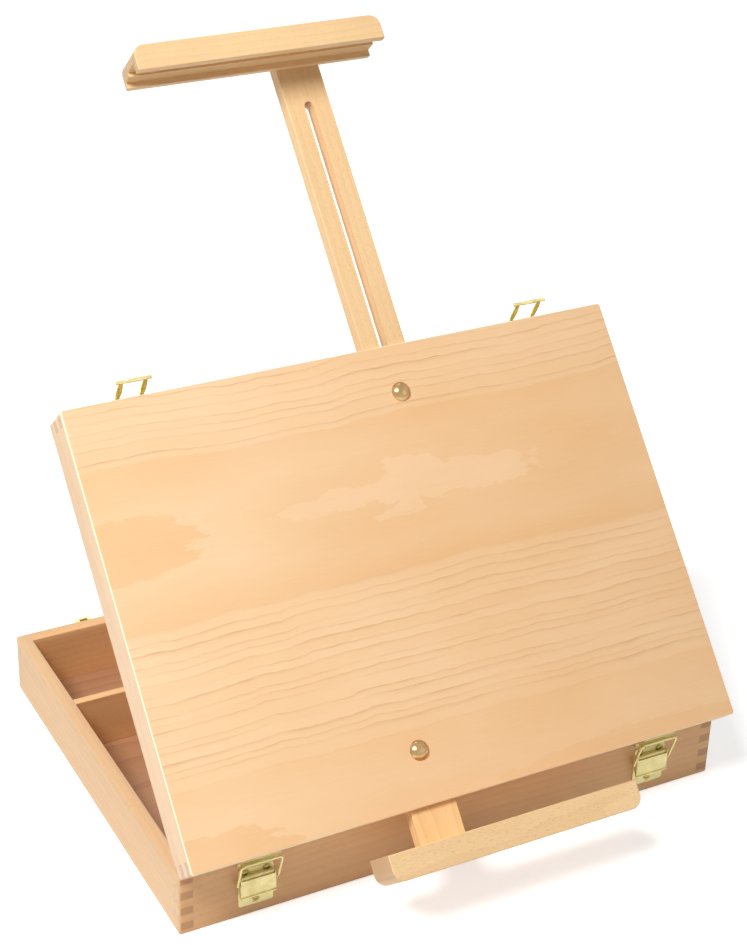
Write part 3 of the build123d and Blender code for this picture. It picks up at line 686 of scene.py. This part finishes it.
def makeWall(name, side, low, high, easeLow, easeHigh):
    # One wall of a half box, in that half's own frame, with its fingers drawn out of a split block
    wall, depth = box["wall"], box["depth"]
    spans = fingerSpans(low, high)
    isEnd = side in ("front", "rear")
    if isEnd:
        ySpan = (0, wall) if side == "front" else (depth - wall, depth)
        piece = startBlock(name, (-innerHalf, ySpan[0], low), (innerHalf, ySpan[1], high))
    else:
        xSpan = (-halfWidth, -innerHalf) if side == "left" else (innerHalf, halfWidth)
        piece = startBlock(name, (xSpan[0], wall, low), (xSpan[1], depth - wall, high))
    for span in spans:
        for height in span:
            if low < height < high - near:
                bisectAt(piece, height)
    axis = 0 if isEnd else 1

    def isFinger(face, way):
        height = face.calc_center_median().z
        taken = any(a < height < b for a, b in spans)
        return face.normal[axis] * way > square and taken != isEnd

    for way in (-1, 1):
        move = [0, 0, 0]
        move[axis] = way * wall
        extrudeFaces(piece, lambda face: isFinger(face, way), move)

    def isCorner(edge):
        spot = (edge.verts[0].co + edge.verts[1].co) / 2
        return (runsAlong(edge, 2) and abs(abs(spot.x) - halfWidth) < near
                and min(abs(spot.y), abs(spot.y - depth)) < near)

    bevelEdges(piece, isCorner, box["cornerRadius"], wallLook["cornerSteps"])

    def facesOut(face):
        spot = face.calc_center_median()
        edgeGap = box["cornerRadius"] + near
        return abs(face.normal.z) < 0.5 and (abs(spot.x) > halfWidth - edgeGap or spot.y < edgeGap
                                             or spot.y > depth - edgeGap)

    def facesIn(face):
        spot = face.calc_center_median()
        if isEnd:
            inner = wall if side == "front" else depth - wall
            return abs(face.normal.y) > square and abs(spot.y - inner) < near and abs(spot.x) < innerHalf
        return (abs(face.normal.x) > square and abs(abs(spot.x) - innerHalf) < near
                and wall < spot.y < depth - wall)

    def onRim(edge, height):
        return (all(abs(vert.co.z - height) < near for vert in edge.verts)
                and any(facesOut(face) or facesIn(face) for face in edge.link_faces))

    for height, ease in ((low, easeLow), (high, easeHigh)):
        if ease:
            bevelEdges(piece, lambda edge: onRim(edge, height), ease)
    return piece


# Seats for the hinge leaves and round room for the knuckles, and notches where the slats pass through the lid
hingeSeat = {"x": 0.148, "length": 0.0263, "depth": 0.009, "sink": 0.0011, "room": 0.0023}
slatNotch = {"spots": {"front": (-0.0322, 0.0), "rear": (0.0315, box["depth"])}, "half": 0.01665,
             "bottom": 0.0149, "reach": 0.02, "rise": 0.01}


def seatHinges(wall, rim, way):
    # The front walls' rims are let in for the hinge leaves and rounded out for the knuckles
    half = hingeSeat["length"] / 2
    ends = sorted((rim - way * clear, rim + way * hingeSeat["sink"]))
    for x in (-hingeSeat["x"], hingeSeat["x"]):
        cutWith(wall, startBlock("seatCutter", (x - half, -clear, ends[0]), (x + half, hingeSeat["depth"], ends[1])))
        cutWith(wall, crossRod("roomCutter", (x - half, x + half), 0, rim, hingeSeat["room"]))


def cutNotch(wall, side):
    x, y = slatNotch["spots"][side]
    half, reach = slatNotch["half"], slatNotch["reach"]
    cutWith(wall, startBlock("notchCutter", (x - half, y - reach, slatNotch["bottom"]),
                             (x + half, y + reach, boardBack + slatNotch["rise"])))


def makeCarcass():
    for side in ("front", "rear", "left", "right"):
        kind = {"front": "frontWall", "rear": "rearWall"}.get(side, "sideWall")
        wall = makeWall(f"base_{side}_board", side, 0, box["baseHeight"], wallLook["footEase"], wallLook["rimEase"])
        if side == "front":
            seatHinges(wall, box["baseHeight"], -1)
        settle(wall, baseFrame, "base", finishes[kind], f"base_{side}_wall")
    for side, node in (("front", "lower"), ("rear", "upper"), ("left", "left"), ("right", "right")):
        kind = "lidEndWall" if side in ("front", "rear") else "lidSideWall"
        wall = makeWall(f"lid_{node}_board", side, box["rimGap"], boardBack, wallLook["rimEase"], 0)
        if side in slatNotch["spots"]:
            cutNotch(wall, side)
        if side == "front":
            seatHinges(wall, 0, 1)
        settle(wall, lidFrame, "lid", finishes[kind], f"lid_{node}_wall")


makeCarcass()
print("walls are joined")


# Drawing board

boardLook = {"edgeEase": 0.0007, "edgeSteps": 3, "cornerSteps": 6}


def makeBoard():
    board = startBlock("panel", (-halfWidth, 0, boardBack), (halfWidth, box["depth"], box["lidHeight"]))
    bevelEdges(board, lambda edge: runsAlong(edge, 2), box["cornerRadius"], boardLook["cornerSteps"])
    bevelEdges(board, lambda edge: all(abs(vert.co.z - box["lidHeight"]) < near for vert in edge.verts),
               boardLook["edgeEase"], boardLook["edgeSteps"])
    settle(board, lidFrame, "lid", finishes["board"], "drawing_board")


makeBoard()
print("drawing board is laid")


# Draw-bail latches: plates with a rolled barrel for the lever's pin, and folded levers

latch = {
    "x": 0.148,
    "plateHalf": 0.0121, "sheet": 0.001, "plateLow": 0.008, "plateHigh": 0.038,
    "plateCorner": 0.0018, "cornerSteps": 5,
    "screws": ((-0.0075, 0.0346), (0.0075, 0.0346), (0.0, 0.012)), "ring": 0.0031, "ringSink": 0.0004,
    "pin": (-0.003, 0.0323), "pinRadius": 0.00085, "barrel": 0.00145, "barrelHalf": 0.0101,
    "earOuter": 0.0111, "earInner": 0.0103, "earRadius": 0.0014,
    "rootShare": 0.97,              # a root's height as a part of the round that it carries
    "leverHalf": 0.0124, "leverProud": 0.0056, "leverLow": 0.019, "leverHigh": 0.0319,
    "leverFold": 0.0009, "foldSteps": 4,
    "flangeHigh": 0.0332, "flangeBack": 0.0016, "flangeFoot": 0.0265, "footBack": 0.004, "lip": 0.0005,
    "bail": (-0.004, 0.028), "bailRadius": 0.00095,
    "ease": 0.00018,
}


def makeLatchPlate():
    half, sheet = latch["plateHalf"], latch["sheet"]
    pinY, pinZ = latch["pin"]
    plate = startBlock("latchPlate", (-half, -sheet, latch["plateLow"]), (half, 0, latch["plateHigh"]))
    bevelEdges(plate, lambda edge: runsAlong(edge, 1), latch["plateCorner"], latch["cornerSteps"])
    for across, height in latch["screws"]:
        clearSelection()
        bpy.ops.mesh.primitive_cylinder_add(vertices=roundSides, radius=latch["ring"], depth=2 * clear,
                                            location=(across, -sheet + latch["ringSink"] - clear, height),
                                            rotation=(math.pi / 2, 0, 0))
        cutWith(plate, bpy.context.object)
    easeAll(plate, latch["ease"])
    parts = [plate]
    reach = latch["earRadius"]
    root = reach * latch["rootShare"]
    for way in (-1, 1):
        ends = sorted((way * latch["earInner"], way * latch["earOuter"]))
        parts.append(startBlock("earFoot", (ends[0], pinY, pinZ - root), (ends[1], -sheet / 2, pinZ + root)))
        parts.append(crossRod("earRound", ends, pinY, pinZ, reach))
    # The sheet's tongue rolls round the pin between the ears
    span = (-latch["barrelHalf"], latch["barrelHalf"])
    parts.append(crossRod("barrel", span, pinY, pinZ, latch["barrel"]))
    parts.append(startBlock("tongue", (span[0], pinY, pinZ - latch["barrel"] * latch["rootShare"]),
                            (span[1], -sheet / 2, pinZ + latch["barrel"] / 2)))
    return joinAll(parts)


def makeLatchLever():
    half, sheet, proud = latch["leverHalf"], latch["sheet"], latch["leverProud"]
    low, high = latch["leverLow"], latch["flangeHigh"]
    lever = startBlock("latchLever", (-half, -proud, low), (half, -latch["flangeBack"], high))
    bisectAt(lever, latch["flangeFoot"])
    bisectAt(lever, latch["leverHigh"])
    # The flanges taper to the handle's end and lean back to the pin at the top
    moveVerts(lever, lambda vert: vert.co.y > -proud + near and vert.co.z < low + near,
              (0, latch["flangeBack"] - latch["footBack"], 0))
    moveVerts(lever, lambda vert: vert.co.y < -proud + near and vert.co.z > high - near,
              (0, proud + latch["pin"][0] - latch["earRadius"], 0))
    bevelEdges(lever, lambda edge: runsAlong(edge, 2) and all(abs(vert.co.y + proud) < near for vert in edge.verts),
               latch["leverFold"], latch["foldSteps"])
    inner = half - sheet
    cutWith(lever, startBlock("hollow", (-inner, sheet - proud, low - sheet), (inner, clear, high + sheet)))
    cutWith(lever, startBlock("topCut", (-inner, -proud - sheet, latch["leverHigh"]), (inner, clear, high + sheet)))
    for spot, radius in ((latch["pin"], latch["pinRadius"]), (latch["bail"], latch["bailRadius"])):
        cutWith(lever, crossRod("bore", (-2 * half, 2 * half), *spot, radius))
    # A small lip at the foot, to pull
    lip = startBlock("lip", (-half, -proud - latch["lip"], low - sheet), (half, sheet - proud, low))
    easeAll(lever, latch["ease"])
    easeAll(lip, latch["ease"])
    return joinAll([lever, lip])


plate, lever = makeLatchPlate(), makeLatchLever()
for side, x in (("left", -latch["x"]), ("right", latch["x"])):
    stance = baseFrame @ Matrix.Translation((x, 0, 0))
    # The plates wear the paler brass, a painted sheen
    settle(copyOf(plate, f"latch_{side}_sheet"), stance, "base", finishes["plateBrassPaintedSheen"],
           f"latch_plate_{side}")
    settle(copyOf(lever, f"latch_{side}_handle"), stance, f"lever_{side}", finishes["sheetBrass"],
           f"latch_lever_{side}")
for model in (plate, lever):
    bpy.data.objects.remove(model)
print("latches are folded")


# Hasp loops at the rear: cast arms that swell midway, with a sleeved cross bar

hasp = {
    "x": 0.147, "out": 0.0032, "place": 0.008, "tilt": 19.6, "smooth": 50,
    "reach": 0.0223, "armMiddle": 0.00845, "armSides": 20,
    "eye": 0.0022, "eyeHalf": 0.00185, "eyeEase": 0.0003, "bore": 0.00105, "boreHalf": 0.02,
    # Heights up an arm, and its width there
    "armWidths": ((0.0, 0.0015), (0.0045, 0.0016), (0.0105, 0.0022), (0.0165, 0.0020), (0.0223, 0.0013)),
    "armDepth": 0.41,               # an arm's thickness as a part of its width
    "bar": 0.0012, "barHalf": 0.0119, "sleeve": 0.00135, "sleeveHalf": 0.0055, "sleeveEase": 0.0002,
    "knob": 0.0015, "knobLength": 0.55, "knobSides": 20, "knobRings": 12,
}


def makeHaspArm(middle):
    reach, widths = hasp["reach"], hasp["armWidths"]
    startWidth = widths[0][1]
    clearSelection()
    bpy.ops.mesh.primitive_cylinder_add(vertices=hasp["armSides"], radius=startWidth, depth=reach,
                                        location=(middle, 0, reach / 2))
    arm = bpy.context.object
    bpy.ops.object.transform_apply(location=True, rotation=True, scale=True)
    for height, _ in widths[1:-1]:
        bisectAt(arm, height)
    for height, width in widths:
        pick(arm, "VERT", lambda vert: abs(vert.co.z - height) < near)
        wide = width / startWidth
        bpy.ops.transform.resize(value=(wide, wide * hasp["armDepth"], 1), center_override=(middle, 0, height))
    bpy.ops.object.mode_set(mode="OBJECT")
    return arm


def makeHaspLoop():
    parts = []
    reach = hasp["reach"]
    for way in (-1, 1):
        middle = way * hasp["armMiddle"]
        arm = makeHaspArm(middle)
        eye = crossRod("eye", (middle - hasp["eyeHalf"], middle + hasp["eyeHalf"]), 0, 0, hasp["eye"])
        easeAll(eye, hasp["eyeEase"])
        for part in (arm, eye):
            cutWith(part, crossRod("bore", (-hasp["boreHalf"], hasp["boreHalf"]), 0, 0, hasp["bore"]))
            parts.append(part)
        clearSelection()
        bpy.ops.mesh.primitive_uv_sphere_add(segments=hasp["knobSides"], ring_count=hasp["knobRings"],
                                             radius=hasp["knob"], location=(way * hasp["barHalf"], 0, reach),
                                             scale=(hasp["knobLength"], 1, 1))
        bpy.ops.object.transform_apply(location=True, rotation=True, scale=True)
        parts.append(bpy.context.object)
    parts.append(crossRod("bar", (-hasp["barHalf"], hasp["barHalf"]), 0, reach, hasp["bar"]))
    sleeve = crossRod("sleeve", (-hasp["sleeveHalf"], hasp["sleeveHalf"]), 0, reach, hasp["sleeve"])
    easeAll(sleeve, hasp["sleeveEase"])
    return joinAll(parts + [sleeve])


loop = makeHaspLoop()
for side, x in (("left", -hasp["x"]), ("right", hasp["x"])):
    stance = (lidFrame @ Matrix.Translation((x, box["depth"] + hasp["out"], hasp["place"]))
              @ Matrix.Rotation(math.radians(-hasp["tilt"]), 4, "X"))
    settle(copyOf(loop, f"hasp_{side}_bow"), stance, f"hasp_{side}", finishes["goldBrass"],
           f"hasp_loop_{side}", hasp["smooth"])
bpy.data.objects.remove(loop)
print("hasp loops are cast")


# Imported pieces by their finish, with how far their sharp edges are eased. The others are sheet brass

packed = {
    "floor": (0.0002, ["base_floor"]),
    "divider": (0.0005, ["divider"]),
    "mast": (0.0003, ["mast"]),
    "holder": (0.0004, ["canvas_holder"]),
    "slide": (0.0003, ["ledge_slide"]),
    "ledge": (0.0005, ["canvas_ledge"]),
    "polishedBrass": (0.00012, ["mast_bolt", "ledge_bolt", "mast_washer", "ledge_washer", "mast_wing_nut",
                                "ledge_wing_nut", "stay_wing_nut"]),
    "screwBrass": (0.00012, ["latch_plate_screws", "latch_keeper_screws"]),
    # The keepers wear the plates' paler brass, a painted sheen
    "plateBrassPaintedSheen": (0.00015, ["latch_keeper_left", "latch_keeper_right"]),
    "goldBrass": (0.0002, ["hasp_plate_left", "hasp_plate_right", "hasp_loop_left", "hasp_loop_right", "hasp_pins",
                           "hasp_screws", "staple_plate_left", "staple_plate_right", "staple_screws"]),
    "sheetBrass": (0.00015, []),
}
weld = 1e-6                         # how near the corners of loose triangles lie
flatness = math.radians(1)


def easeEdges(node, width):
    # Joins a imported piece's triangles, drops the lines across its flat faces and rounds its edges
    join = node.modifiers.new("join", "WELD")
    join.merge_threshold = weld
    flatten = node.modifiers.new("flatten", "DECIMATE")
    flatten.decimate_type = "DISSOLVE"
    flatten.angle_limit = flatness
    addEase(node, width).harden_normals = True


finishOf = {node: finish for finish, (_, nodeNames) in packed.items() for node in nodeNames}
for name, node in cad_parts.items():
    finish = finishOf.get(name, "sheetBrass")
    node.data.materials.clear()
    node.data.materials.append(finishes[finish])
    if not name.endswith("_wall") and name != "drawing_board":
        easeEdges(node, packed[finish][0])
print("packed pieces are finished")
